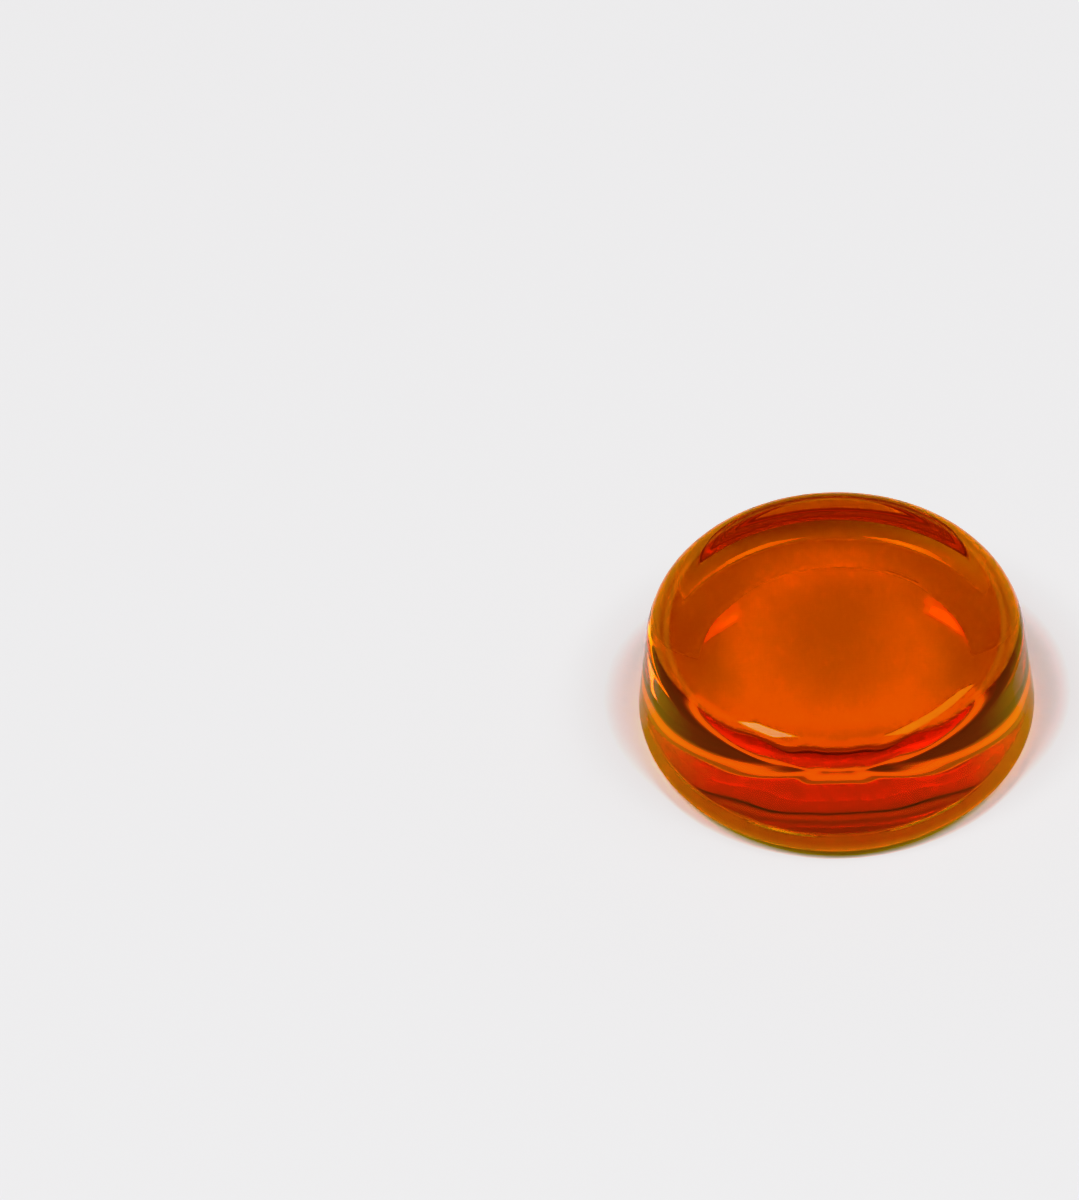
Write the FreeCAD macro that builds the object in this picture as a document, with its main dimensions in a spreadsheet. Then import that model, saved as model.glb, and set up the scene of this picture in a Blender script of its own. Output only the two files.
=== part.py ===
import FreeCAD, Part
import math
import os

import Sketcher

# A round rosin cake for stringed-instrument bows: one solid puck of clear
# amber rosin, poured into a round mould and turned out. Millimetres, +Z up,
# origin at the centre of the face it rests on, which is the wider face.

os.makedirs("parts", exist_ok=True)
doc = FreeCAD.newDocument("rosin_cake")

# ---------------------------------------------------------------- parameters
PARAMETERS = [
    ("base_radius", 19.58, "wall radius carried down to the resting face"),
    ("shoulder_radius", 17.64, "wall radius carried up to the top face"),
    ("cake_height", 14.8, "resting face to top face"),
    ("shoulder_round", 3.75, "round from the wall into the top face"),
    ("foot_round", 2.5, "round from the wall into the resting face"),
    ("hollow_radius", 13.4, "rim of the shallow hollow under the cake"),
    ("hollow_depth", 0.75, "depth of that hollow at the middle"),
]

sheet = doc.addObject("Spreadsheet::Sheet", "Sizes")
sheet.Label = "sizes"
for row, (alias, value, meaning) in enumerate(PARAMETERS, start=1):
    sheet.set("A%d" % row, alias)
    sheet.set("B%d" % row, "%g" % value)
    sheet.setAlias("B%d" % row, alias)
    sheet.set("C%d" % row, meaning)
doc.recompute()


# ------------------------------------------------------------------- helpers
def origin_feature(body, role):
    """The body's own origin plane or axis with this role."""
    for feature in body.Origin.OriginFeatures:
        if feature.Role == role:
            return feature
    raise RuntimeError("no origin feature " + role)


def point(x, y):
    return FreeCAD.Vector(x, y, 0)


def half_section_sketch(body, name):
    """An empty sketch on the body's upright XZ plane: x is radius, y is height."""
    sketch = body.newObject("Sketcher::SketchObject", name)
    sketch.AttachmentSupport = [(origin_feature(body, "XZ_Plane"), "")]
    sketch.MapMode = "FlatFace"
    return sketch


def add_bound(sketch, constraint, name, expression):
    """Adds a named constraint whose value follows a cell of the sheet."""
    index = sketch.addConstraint(constraint)
    sketch.renameConstraint(index, name)
    sketch.setExpression("Constraints." + name, expression)


def full_turn(body, kind, name, sketch):
    """A Revolution or Groove of the sketch, once round the upright axis."""
    feature = body.newObject("PartDesign::" + kind, name)
    feature.Profile = sketch
    feature.ReferenceAxis = (sketch, ["V_Axis"])
    feature.Angle = 360
    return feature


def circle_edge(shape, radius, height):
    """Name of the circular edge with this radius at this height."""
    for index, edge in enumerate(shape.Edges, start=1):
        curve = edge.Curve
        if not isinstance(curve, Part.Circle):
            continue
        same_radius = abs(curve.Radius - radius) < 1e-4
        same_height = abs(curve.Center.z - height) < 1e-4
        if same_radius and same_height:
            return "Edge%d" % index
    raise RuntimeError("no circular edge of radius %g at height %g" % (radius, height))


def rounded_edge(body, name, support, edge, cell):
    """A fillet of one edge, its radius bound to a cell of the sheet."""
    fillet = body.newObject("PartDesign::Fillet", name)
    fillet.Base = (support, [edge])
    fillet.setExpression("Radius", "Sizes." + cell)
    doc.recompute()
    return fillet


# ----------------------------------------------------------- the poured puck
cake = doc.addObject("PartDesign::Body", "Cake")
cake.Label = "rosin_cake"

section = half_section_sketch(cake, "PuckSection")
corners = [
    point(0, 0),
    point(sheet.base_radius, 0),
    point(sheet.shoulder_radius, sheet.cake_height),
    point(0, sheet.cake_height),
]
FLOOR, WALL, TOP, AXIS = range(4)
for start, end in zip(corners, corners[1:] + corners[:1]):
    section.addGeometry(Part.LineSegment(start, end), False)
for line, following in ((FLOOR, WALL), (WALL, TOP), (TOP, AXIS), (AXIS, FLOOR)):
    section.addConstraint(Sketcher.Constraint("Coincident", line, 2, following, 1))
section.addConstraint(Sketcher.Constraint("Coincident", FLOOR, 1, -1, 1))
section.addConstraint(Sketcher.Constraint("Horizontal", FLOOR))
section.addConstraint(Sketcher.Constraint("Horizontal", TOP))
section.addConstraint(Sketcher.Constraint("Vertical", AXIS))
add_bound(
    section,
    Sketcher.Constraint("DistanceX", FLOOR, 1, FLOOR, 2, sheet.base_radius),
    "base_radius",
    "Sizes.base_radius",
)
add_bound(
    section,
    Sketcher.Constraint("DistanceX", TOP, 2, TOP, 1, sheet.shoulder_radius),
    "shoulder_radius",
    "Sizes.shoulder_radius",
)
add_bound(
    section,
    Sketcher.Constraint("DistanceY", AXIS, 2, AXIS, 1, sheet.cake_height),
    "cake_height",
    "Sizes.cake_height",
)
puck = full_turn(cake, "Revolution", "Puck", section)
doc.recompute()
puck_volume = puck.Shape.Volume

# --------------------------------------------- hollow left by the cooling pour
# A shallow spherical hollow: the arc meets the axis square, so its centre is
# on the axis, and it runs out to the ring the cake stands on.
hollow_section = half_section_sketch(cake, "HollowSection")
rise = float(sheet.hollow_depth)
reach = float(sheet.hollow_radius)
sphere_radius = (reach * reach + rise * rise) / (2 * rise)
half_angle = math.asin(reach / sphere_radius)
hollow_arc = Part.ArcOfCircle(
    Part.Circle(point(0, rise - sphere_radius), FreeCAD.Vector(0, 0, 1), sphere_radius),
    math.pi / 2 - half_angle,
    math.pi / 2,
)
ARC, RIM, MIDDLE = range(3)
hollow_section.addGeometry(hollow_arc, False)
hollow_section.addGeometry(Part.LineSegment(point(0, 0), point(reach, 0)), False)
hollow_section.addGeometry(Part.LineSegment(point(0, rise), point(0, 0)), False)
hollow_section.addConstraint(Sketcher.Constraint("Coincident", RIM, 1, -1, 1))
hollow_section.addConstraint(Sketcher.Constraint("Horizontal", RIM))
hollow_section.addConstraint(Sketcher.Constraint("Coincident", RIM, 2, ARC, 1))
hollow_section.addConstraint(Sketcher.Constraint("Coincident", ARC, 2, MIDDLE, 1))
hollow_section.addConstraint(Sketcher.Constraint("Coincident", MIDDLE, 2, RIM, 1))
hollow_section.addConstraint(Sketcher.Constraint("Vertical", MIDDLE))
hollow_section.addConstraint(Sketcher.Constraint("PointOnObject", ARC, 3, -2))
add_bound(
    hollow_section,
    Sketcher.Constraint("DistanceX", RIM, 1, RIM, 2, reach),
    "hollow_radius",
    "Sizes.hollow_radius",
)
add_bound(
    hollow_section,
    Sketcher.Constraint("DistanceY", MIDDLE, 2, MIDDLE, 1, rise),
    "hollow_depth",
    "Sizes.hollow_depth",
)
hollow = full_turn(cake, "Groove", "Hollow", hollow_section)
doc.recompute()
if not hollow.Shape.Volume < puck_volume - 1:
    raise RuntimeError("the hollow cut nothing")

# -------------------------------------------------------------- rounded edges
top_edge = circle_edge(hollow.Shape, float(sheet.shoulder_radius), float(sheet.cake_height))
shoulder = rounded_edge(cake, "Shoulder", hollow, top_edge, "shoulder_round")
foot_edge = circle_edge(shoulder.Shape, float(sheet.base_radius), 0.0)
foot = rounded_edge(cake, "Foot", shoulder, foot_edge, "foot_round")

# ------------------------------------------------------------- check and write
doc.recompute()
for item in doc.Objects:
    if "Invalid" in item.State or "Error" in item.State:
        raise RuntimeError("%s is in state %s" % (item.Name, item.State))
if cake.Shape.isNull() or not cake.Shape.isValid():
    raise RuntimeError("the cake has no valid shape")
if len(cake.Shape.Solids) != 1:
    raise RuntimeError("the cake is not one solid")

cake.Shape.exportStep("parts/rosin_cake.step")
print("rosin_cake: volume %.1f cubic millimetres" % cake.Shape.Volume)
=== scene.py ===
import math

import bmesh
import bpy
from mathutils import Matrix, Vector


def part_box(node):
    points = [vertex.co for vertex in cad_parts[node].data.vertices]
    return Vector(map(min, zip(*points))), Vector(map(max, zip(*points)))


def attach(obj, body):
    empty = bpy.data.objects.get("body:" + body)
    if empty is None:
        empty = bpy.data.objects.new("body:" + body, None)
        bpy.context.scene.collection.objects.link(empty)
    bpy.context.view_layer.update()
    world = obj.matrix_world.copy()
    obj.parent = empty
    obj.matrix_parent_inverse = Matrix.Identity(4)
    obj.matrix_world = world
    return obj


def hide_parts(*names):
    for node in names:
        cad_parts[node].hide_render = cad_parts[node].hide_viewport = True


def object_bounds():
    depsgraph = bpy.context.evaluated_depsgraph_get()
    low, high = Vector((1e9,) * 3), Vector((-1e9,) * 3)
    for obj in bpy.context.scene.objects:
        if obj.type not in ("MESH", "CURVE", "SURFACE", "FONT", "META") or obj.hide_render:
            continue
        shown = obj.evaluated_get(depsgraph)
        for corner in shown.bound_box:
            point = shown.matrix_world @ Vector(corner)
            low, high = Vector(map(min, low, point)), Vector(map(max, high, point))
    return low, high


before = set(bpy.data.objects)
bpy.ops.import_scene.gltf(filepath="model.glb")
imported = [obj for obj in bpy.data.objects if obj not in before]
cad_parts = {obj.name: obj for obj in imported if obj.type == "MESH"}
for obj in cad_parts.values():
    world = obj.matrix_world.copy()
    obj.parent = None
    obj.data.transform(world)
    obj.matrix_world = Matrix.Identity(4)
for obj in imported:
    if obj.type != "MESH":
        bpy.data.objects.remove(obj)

# A round rosin cake for stringed-instrument bows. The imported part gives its
# place and size; this script adds the cast surface, the amber of the rosin,
# the floor, the light and the camera. Metres, +Z up, the cake's axis on Z.

MM = 0.001
NODE = "rosin_cake"
cad_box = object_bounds()
node_low, node_high = (Vector(corner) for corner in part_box(NODE))

# ---------------------------------------------------------------- the casting
WIDEST = (node_high.x - node_low.x) / 2
HEIGHT = node_high.z - node_low.z
SHOULDER_ROUND = 3.75 * MM
FOOT_ROUND = 2.5 * MM
WALL_TAPER = math.radians(7.47)
HOLLOW_RADIUS = 13.4 * MM
HOLLOW_DEPTH = 0.75 * MM
# a fine groove runs round the rim of the hollow, deeper in a few places:
# azimuth (0 is the camera's side), spread in degrees, added depth
GROOVE_WIDTH = 0.50 * MM
GROOVE_RADIUS = HOLLOW_RADIUS + GROOVE_WIDTH
GROOVE_DEPTH = 0.012 * MM
GROOVE_DEEPER = ((-20, 9, 0.26 * MM), (27, 7, 0.20 * MM), (41, 5, 0.24 * MM), (-62, 16, 0.08 * MM))

# rows of the mesh along each stretch of the half section, and round the axis
TOP_ROWS = 30
SHOULDER_ROWS = 36
WALL_ROWS = 14
FOOT_ROWS = 30
RING_ROWS = 8
GROOVE_ROWS = 12
HOLLOW_ROWS = 60
COLUMNS = 320

# the casting isn't perfectly round: lobes round the axis, depth, phase
WALL_WAVES = ((2, 0.030 * MM, 0.4), (5, 0.016 * MM, 2.1), (9, 0.009 * MM, 4.0), (16, 0.006 * MM, 1.0))
BASE_WAVES = ((3, 0.030 * MM, 1.1), (7, 0.018 * MM, 3.3), (11, 0.012 * MM, 0.2))
# the wall's waves die away towards the axis with this power of the radius,
# and this share of them is left at the foot
WAVE_FALL = 4
FOOT_WAVE_SHARE = 0.4


def waves(table, angle):
    """Half the sum of the table's waves at this angle, never above zero."""
    total = sum(depth * (math.sin(lobes * angle + phase) - 1) for lobes, depth, phase in table)
    return total / 2


def groove_depth(angle):
    """Depth of the groove at the rim of the hollow, at this angle round the axis."""
    # the angle runs from +X; the azimuth is counted from -Y, between -180 and 180
    azimuth = (math.degrees(angle) + 90 + 180) % 360 - 180
    deeper = (depth * math.exp(-((azimuth - at) / spread) ** 2) for at, spread, depth in GROOVE_DEEPER)
    return GROOVE_DEPTH + sum(deeper)


def groove_rise(radius, angle):
    """How far the groove's roof stands above the resting face at this radius."""
    inward = GROOVE_RADIUS - radius
    if not 0 < inward < GROOVE_WIDTH:
        return 0
    return groove_depth(angle) * math.sin(math.pi * inward / GROOVE_WIDTH) ** 2


def arc(centre, radius, start, end, rows):
    """Points of an arc in the half section, from just after start to end, in degrees."""
    points = []
    for row in range(1, rows + 1):
        turn = math.radians(start + (end - start) * row / rows)
        points.append((centre[0] + radius * math.cos(turn), centre[1] + radius * math.sin(turn)))
    return points


def line(start, end, rows):
    """Points of a straight stretch, from just after start to end."""
    return [
        (start[0] + (end[0] - start[0]) * row / rows, start[1] + (end[1] - start[1]) * row / rows)
        for row in range(1, rows + 1)
    ]


def half_section():
    """Radius and height of each ring of the cake, from the middle of the top to the middle below."""
    taper = math.degrees(WALL_TAPER)
    foot_centre = (WIDEST - FOOT_ROUND, FOOT_ROUND)
    # the wall touches the foot round where its normal rises by the taper
    foot_touch = (
        foot_centre[0] + FOOT_ROUND * math.cos(WALL_TAPER),
        foot_centre[1] + FOOT_ROUND * math.sin(WALL_TAPER),
    )
    shoulder_height = HEIGHT - SHOULDER_ROUND
    touch_height = shoulder_height + SHOULDER_ROUND * math.sin(WALL_TAPER)
    touch_radius = foot_touch[0] - (touch_height - foot_touch[1]) * math.tan(WALL_TAPER)
    shoulder_centre = (touch_radius - SHOULDER_ROUND * math.cos(WALL_TAPER), shoulder_height)
    points = line((0, HEIGHT), (shoulder_centre[0], HEIGHT), TOP_ROWS)
    points += arc(shoulder_centre, SHOULDER_ROUND, 90, taper, SHOULDER_ROWS)
    points += line(points[-1], foot_touch, WALL_ROWS)
    points += arc(foot_centre, FOOT_ROUND, taper, -90, FOOT_ROWS)
    points += line(points[-1], (GROOVE_RADIUS, 0), RING_ROWS)
    points += line(points[-1], (HOLLOW_RADIUS, 0), GROOVE_ROWS)
    # the hollow is a shallow bowl, deepest at the axis
    for row in range(1, HOLLOW_ROWS):
        share = 1 - row / HOLLOW_ROWS
        points.append((HOLLOW_RADIUS * share, HOLLOW_DEPTH * (1 - share**2)))
    return points


def cast_point(radius, height, angle):
    """Where a ring point lies once the casting's small unevenness is added."""
    near_edge = min(1, radius / WIDEST) ** WAVE_FALL
    above_foot = min(1, height / FOOT_ROUND)
    wave_share = near_edge * (FOOT_WAVE_SHARE + (1 - FOOT_WAVE_SHARE) * above_foot)
    pulled = radius + waves(WALL_WAVES, angle) * wave_share
    lifted = height
    if height <= HOLLOW_DEPTH:
        lifted += groove_rise(radius, angle)
    ring_edge = WIDEST - FOOT_ROUND
    if lifted < HEIGHT / 2 and radius < ring_edge:
        lifted -= waves(BASE_WAVES, angle) * math.sin(math.pi * radius / ring_edge)
    return Vector((pulled * math.cos(angle), pulled * math.sin(angle), lifted))


def build_cake():
    """The closed mesh of the cake: one pole, rings, one pole."""
    mesh = bmesh.new()
    rings = []
    for radius, height in half_section():
        ring = []
        for column in range(COLUMNS):
            angle = 2 * math.pi * column / COLUMNS
            ring.append(mesh.verts.new(cast_point(radius, height, angle)))
        rings.append(ring)
    top_pole = mesh.verts.new((0, 0, HEIGHT))
    bottom_pole = mesh.verts.new((0, 0, HOLLOW_DEPTH))
    for column in range(COLUMNS):
        after = (column + 1) % COLUMNS
        mesh.faces.new((top_pole, rings[0][column], rings[0][after]))
        for upper, lower in zip(rings, rings[1:]):
            mesh.faces.new((upper[column], lower[column], lower[after], upper[after]))
        mesh.faces.new((rings[-1][column], bottom_pole, rings[-1][after]))
    bmesh.ops.recalc_face_normals(mesh, faces=mesh.faces)
    for face in mesh.faces:
        face.smooth = True
    data = bpy.data.meshes.new("rosin_casting")
    mesh.to_mesh(data)
    mesh.free()
    cake = bpy.data.objects.new("rosin_casting", data)
    bpy.context.scene.collection.objects.link(cake)
    return cake


# ------------------------------------------------------------------ materials
def new_material(name):
    """A material and its main shader node."""
    material = bpy.data.materials.new(name)
    material.use_nodes = True
    return material, material.node_tree.nodes["Principled BSDF"]


ROSIN_INDEX = 1.515
# how strongly rosin absorbs red, green and blue light, per metre
ROSIN_ABSORPTION = (1.5, 48.0, 260.0)
# the gloss is a little uneven: pattern scale, the part of the noise used, the most roughness
HAZE_SCALE = 160
HAZE_RANGE = (0.35, 0.75)
HAZE_ROUGHNESS = 0.03
# the ring it stands on is scuffed: up to this height, and this rough at the bottom
SCUFF_HEIGHT = 0.08 * MM
SCUFF_ROUGHNESS = 0.5
# slow swells of the cast skin
SKIN_SCALE = 90
SKIN_STRENGTH = 0.06
SKIN_DEPTH = 0.02 * MM


def noise(nodes, links, vector, scale, detail):
    """A noise texture over these coordinates; returns its value."""
    texture = nodes.new("ShaderNodeTexNoise")
    texture.inputs["Scale"].default_value = scale
    texture.inputs["Detail"].default_value = detail
    links.new(vector, texture.inputs["Vector"])
    return texture.outputs["Fac"]


def remap(nodes, links, value, source, target):
    """Stretches the source range onto the target range and clamps; returns the result."""
    node = nodes.new("ShaderNodeMapRange")
    node.inputs["From Min"].default_value, node.inputs["From Max"].default_value = source
    node.inputs["To Min"].default_value, node.inputs["To Max"].default_value = target
    links.new(value, node.inputs["Value"])
    return node.outputs["Result"]


def rosin_material():
    """Clear amber glass that darkens with depth, with a faintly uneven cast skin."""
    material, shader = new_material("clear_amber_rosin")
    nodes, links = material.node_tree.nodes, material.node_tree.links
    shader.inputs["Base Color"].default_value = (1, 1, 1, 1)
    shader.inputs["Transmission Weight"].default_value = 1
    shader.inputs["IOR"].default_value = ROSIN_INDEX

    density = max(ROSIN_ABSORPTION)
    absorption = nodes.new("ShaderNodeVolumeAbsorption")
    absorption.inputs["Density"].default_value = density
    kept = [1 - taken / density for taken in ROSIN_ABSORPTION]
    absorption.inputs["Color"].default_value = (*kept, 1)
    links.new(absorption.outputs["Volume"], nodes["Material Output"].inputs["Volume"])

    place = nodes.new("ShaderNodeTexCoord").outputs["Object"]
    split = nodes.new("ShaderNodeSeparateXYZ")
    links.new(place, split.inputs["Vector"])
    haze = noise(nodes, links, place, HAZE_SCALE, 2)
    roughness = nodes.new("ShaderNodeMath")
    roughness.operation = "ADD"
    gloss = remap(nodes, links, haze, HAZE_RANGE, (0, HAZE_ROUGHNESS))
    scuff = remap(nodes, links, split.outputs["Z"], (0, SCUFF_HEIGHT), (SCUFF_ROUGHNESS, 0))
    links.new(gloss, roughness.inputs[0])
    links.new(scuff, roughness.inputs[1])
    links.new(roughness.outputs["Value"], shader.inputs["Roughness"])

    bump = nodes.new("ShaderNodeBump")
    bump.inputs["Strength"].default_value = SKIN_STRENGTH
    bump.inputs["Distance"].default_value = SKIN_DEPTH
    links.new(noise(nodes, links, place, SKIN_SCALE, 1), bump.inputs["Height"])
    links.new(bump.outputs["Normal"], shader.inputs["Normal"])
    return material


FLOOR_COLOUR = (0.77, 0.78, 0.80, 1)


def floor_material():
    """Pale matt cloth, a little cooler than white."""
    material, shader = new_material("pale_floor")
    shader.inputs["Base Color"].default_value = FLOOR_COLOUR
    shader.inputs["Roughness"].default_value = 0.9
    shader.inputs["Specular IOR Level"].default_value = 0.1
    return material


# ------------------------------------------------------------------ the stage
FLOOR_HALF_WIDTH = 1.5
# a hair of air keeps the two surfaces apart
FLOOR_GAP = 0.02 * MM


def build_floor():
    """A wide flat floor just under the cake."""
    mesh = bmesh.new()
    bmesh.ops.create_grid(mesh, x_segments=8, y_segments=8, size=FLOOR_HALF_WIDTH)
    data = bpy.data.meshes.new("floor")
    mesh.to_mesh(data)
    mesh.free()
    data.materials.append(floor_material())
    floor = bpy.data.objects.new("floor", data)
    floor.location.z = cad_box[0].z - FLOOR_GAP
    bpy.context.scene.collection.objects.link(floor)


def direction(azimuth, elevation):
    """Unit vector towards a place seen at this azimuth (0 is the camera's side, -Y) and elevation."""
    around, up = math.radians(azimuth), math.radians(elevation)
    return Vector((math.sin(around) * math.cos(up), -math.cos(around) * math.cos(up), math.sin(up)))


LAMP_DISTANCE = 2.0


def add_lamp(name, azimuth, elevation, width, height, power, mirrored=True):
    """A soft rectangular lamp that faces the cake; mirrored ones show in its gloss."""
    data = bpy.data.lights.new(name, "AREA")
    data.shape = "RECTANGLE"
    data.size = width
    data.size_y = height
    data.energy = power
    lamp = bpy.data.objects.new(name, data)
    towards = direction(azimuth, elevation)
    lamp.location = towards * LAMP_DISTANCE
    lamp.rotation_mode = "QUATERNION"
    lamp.rotation_quaternion = towards.to_track_quat("Z", "Y")
    lamp.visible_glossy = mirrored
    bpy.context.scene.collection.objects.link(lamp)


# the room by the sine of the elevation, behind the cake and on the camera's side:
# the brightness, and how far it leans to the warm tone of a dim ceiling
WARM_TONE = (1.0, 0.35, 0.20)
ROOM_BACK = (
    (-1.0, 0.10, 0),
    (0.0, 0.85, 0),
    (0.13, 0.65, 0),
    (0.20, 0.40, 0),
    (0.30, 0.45, 0),
    (0.38, 0.95, 0),
    (0.46, 0.90, 0),
    (0.56, 0.12, 1),
    (1.0, 0.06, 1),
)
ROOM_FRONT = (
    (-1.0, 0.10, 0),
    (0.0, 0.85, 0),
    (0.10, 0.60, 0),
    (0.25, 0.25, 0),
    (0.85, 0.12, 0),
    (1.0, 0.12, 0),
)
# how far to each side of the middle the front blends into the back
BLEND_REACH = 0.4


def build_room():
    """A plain surround that changes with height, brighter behind the cake than in front."""
    world = bpy.data.worlds.new("studio")
    bpy.context.scene.world = world
    world.use_nodes = True
    nodes, links = world.node_tree.nodes, world.node_tree.links
    place = nodes.new("ShaderNodeTexCoord")
    split = nodes.new("ShaderNodeSeparateXYZ")
    links.new(place.outputs["Generated"], split.inputs[0])
    level = remap(nodes, links, split.outputs["Z"], (-1, 1), (0, 1))
    behind = remap(nodes, links, split.outputs["Y"], (-BLEND_REACH, BLEND_REACH), (0, 1))
    blend = nodes.new("ShaderNodeMix")
    blend.data_type = "RGBA"
    links.new(behind, blend.inputs["Factor"])
    for table, side in ((ROOM_FRONT, "A"), (ROOM_BACK, "B")):
        ramp = nodes.new("ShaderNodeValToRGB")
        stops = ramp.color_ramp.elements
        while len(stops) < len(table):
            stops.new(0.5)
        for stop, (height, brightness, warmth) in zip(stops, table):
            stop.position = (height + 1) / 2
            stop.color = (*(brightness * (1 + warmth * (tone - 1)) for tone in WARM_TONE), 1)
        links.new(level, ramp.inputs["Fac"])
        socket = [put for put in blend.inputs if put.name == side and put.type == "RGBA"][0]
        links.new(ramp.outputs["Color"], socket)
    result = [out for out in blend.outputs if out.type == "RGBA"][0]
    links.new(result, nodes["Background"].inputs["Color"])


# ----------------------------------------------------------------- the camera
FRAME_WIDTH, FRAME_HEIGHT = 1079, 1200
VIEW_ELEVATION = math.radians(46.7)
VIEW_DISTANCE = 0.400
VIEW_ROLL = math.radians(-1.08)
# the photograph shows the cake low on the right: its middle, as shares of the
# frame from the frame's middle, and the part of the frame's height one
# millimetre takes up there
CAKE_ACROSS = 0.274
CAKE_DOWN = 0.0511
MM_SHARE = 0.008603


def build_camera():
    """Looks down on the cake from -Y, with the cake low on the right of the frame."""
    data = bpy.data.cameras.new("camera")
    data.sensor_width = 36
    data.clip_start = 0.01
    focal = MM_SHARE * VIEW_DISTANCE / MM
    data.lens = data.sensor_width * focal
    camera = bpy.data.objects.new("camera", data)
    target = Vector((0, 0, HEIGHT / 2))
    back = Vector((0, -math.cos(VIEW_ELEVATION), math.sin(VIEW_ELEVATION)))
    camera.location = target + back * VIEW_DISTANCE
    across = CAKE_ACROSS * FRAME_WIDTH / FRAME_HEIGHT / focal
    down = CAKE_DOWN / focal
    aim = Vector((0, 0, -1)).rotation_difference(Vector((across, -down, -1)))
    roll = Matrix.Rotation(VIEW_ROLL, 3, "Z").to_quaternion()
    camera.rotation_mode = "QUATERNION"
    camera.rotation_quaternion = back.to_track_quat("Z", "Y") @ roll @ aim.inverted()
    bpy.context.scene.collection.objects.link(camera)
    bpy.context.scene.camera = camera


# -------------------------------------------------------------------- grading
# bends of the colour curves, as level and result. Together they add contrast,
# hold weak green and weak blue down for deep amber, and leave pale tones near neutral
ALL_CURVE = ((0.15, 0.10), (0.32, 0.24), (0.50, 0.47), (0.62, 0.76), (0.78, 0.81), (0.92, 0.86))
RED_CURVE = ((0.30, 0.28), (0.45, 0.42), (0.58, 0.57), (0.70, 0.76), (0.80, 0.81))
GREEN_CURVE = ((0.08, 0.03), (0.14, 0.125), (0.30, 0.30))
BLUE_CURVE = ((0.16, 0.005), (0.32, 0.25), (0.50, 0.50))


def grade(view):
    """Bends the colour curves of the picture, with straight stretches between the bends."""
    view.view_transform = "Standard"
    view.use_curve_mapping = True
    tables = (RED_CURVE, GREEN_CURVE, BLUE_CURVE, ALL_CURVE)
    for curve, bends in zip(view.curve_mapping.curves, tables):
        for level, result in bends:
            curve.points.new(level, result)
        for bend in curve.points:
            bend.handle_type = "VECTOR"
    view.curve_mapping.update()


# ---------------------------------------------------------------------- build
BOUNCES = 24

cake = build_cake()
cake.data.materials.append(rosin_material())
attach(cake, "root")
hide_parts(NODE)

build_floor()
build_room()
# the panels make the two bars of gloss; the lamps light the floor seen through the rosin
add_lamp("left_panel", azimuth=-55, elevation=57, width=0.66, height=0.66, power=7.8)
add_lamp("right_panel", azimuth=75, elevation=56, width=1.50, height=0.54, power=6.7)
add_lamp("left_lamp", azimuth=-60, elevation=62, width=0.80, height=0.80, power=15.5, mirrored=False)
add_lamp("right_lamp", azimuth=60, elevation=62, width=0.80, height=0.80, power=15.5, mirrored=False)
build_camera()

scene = bpy.context.scene
grade(scene.view_settings)
# light crosses the rosin many times before it leaves
scene.cycles.max_bounces = BOUNCES
scene.cycles.transmission_bounces = BOUNCES
scene.cycles.sample_clamp_indirect = 0
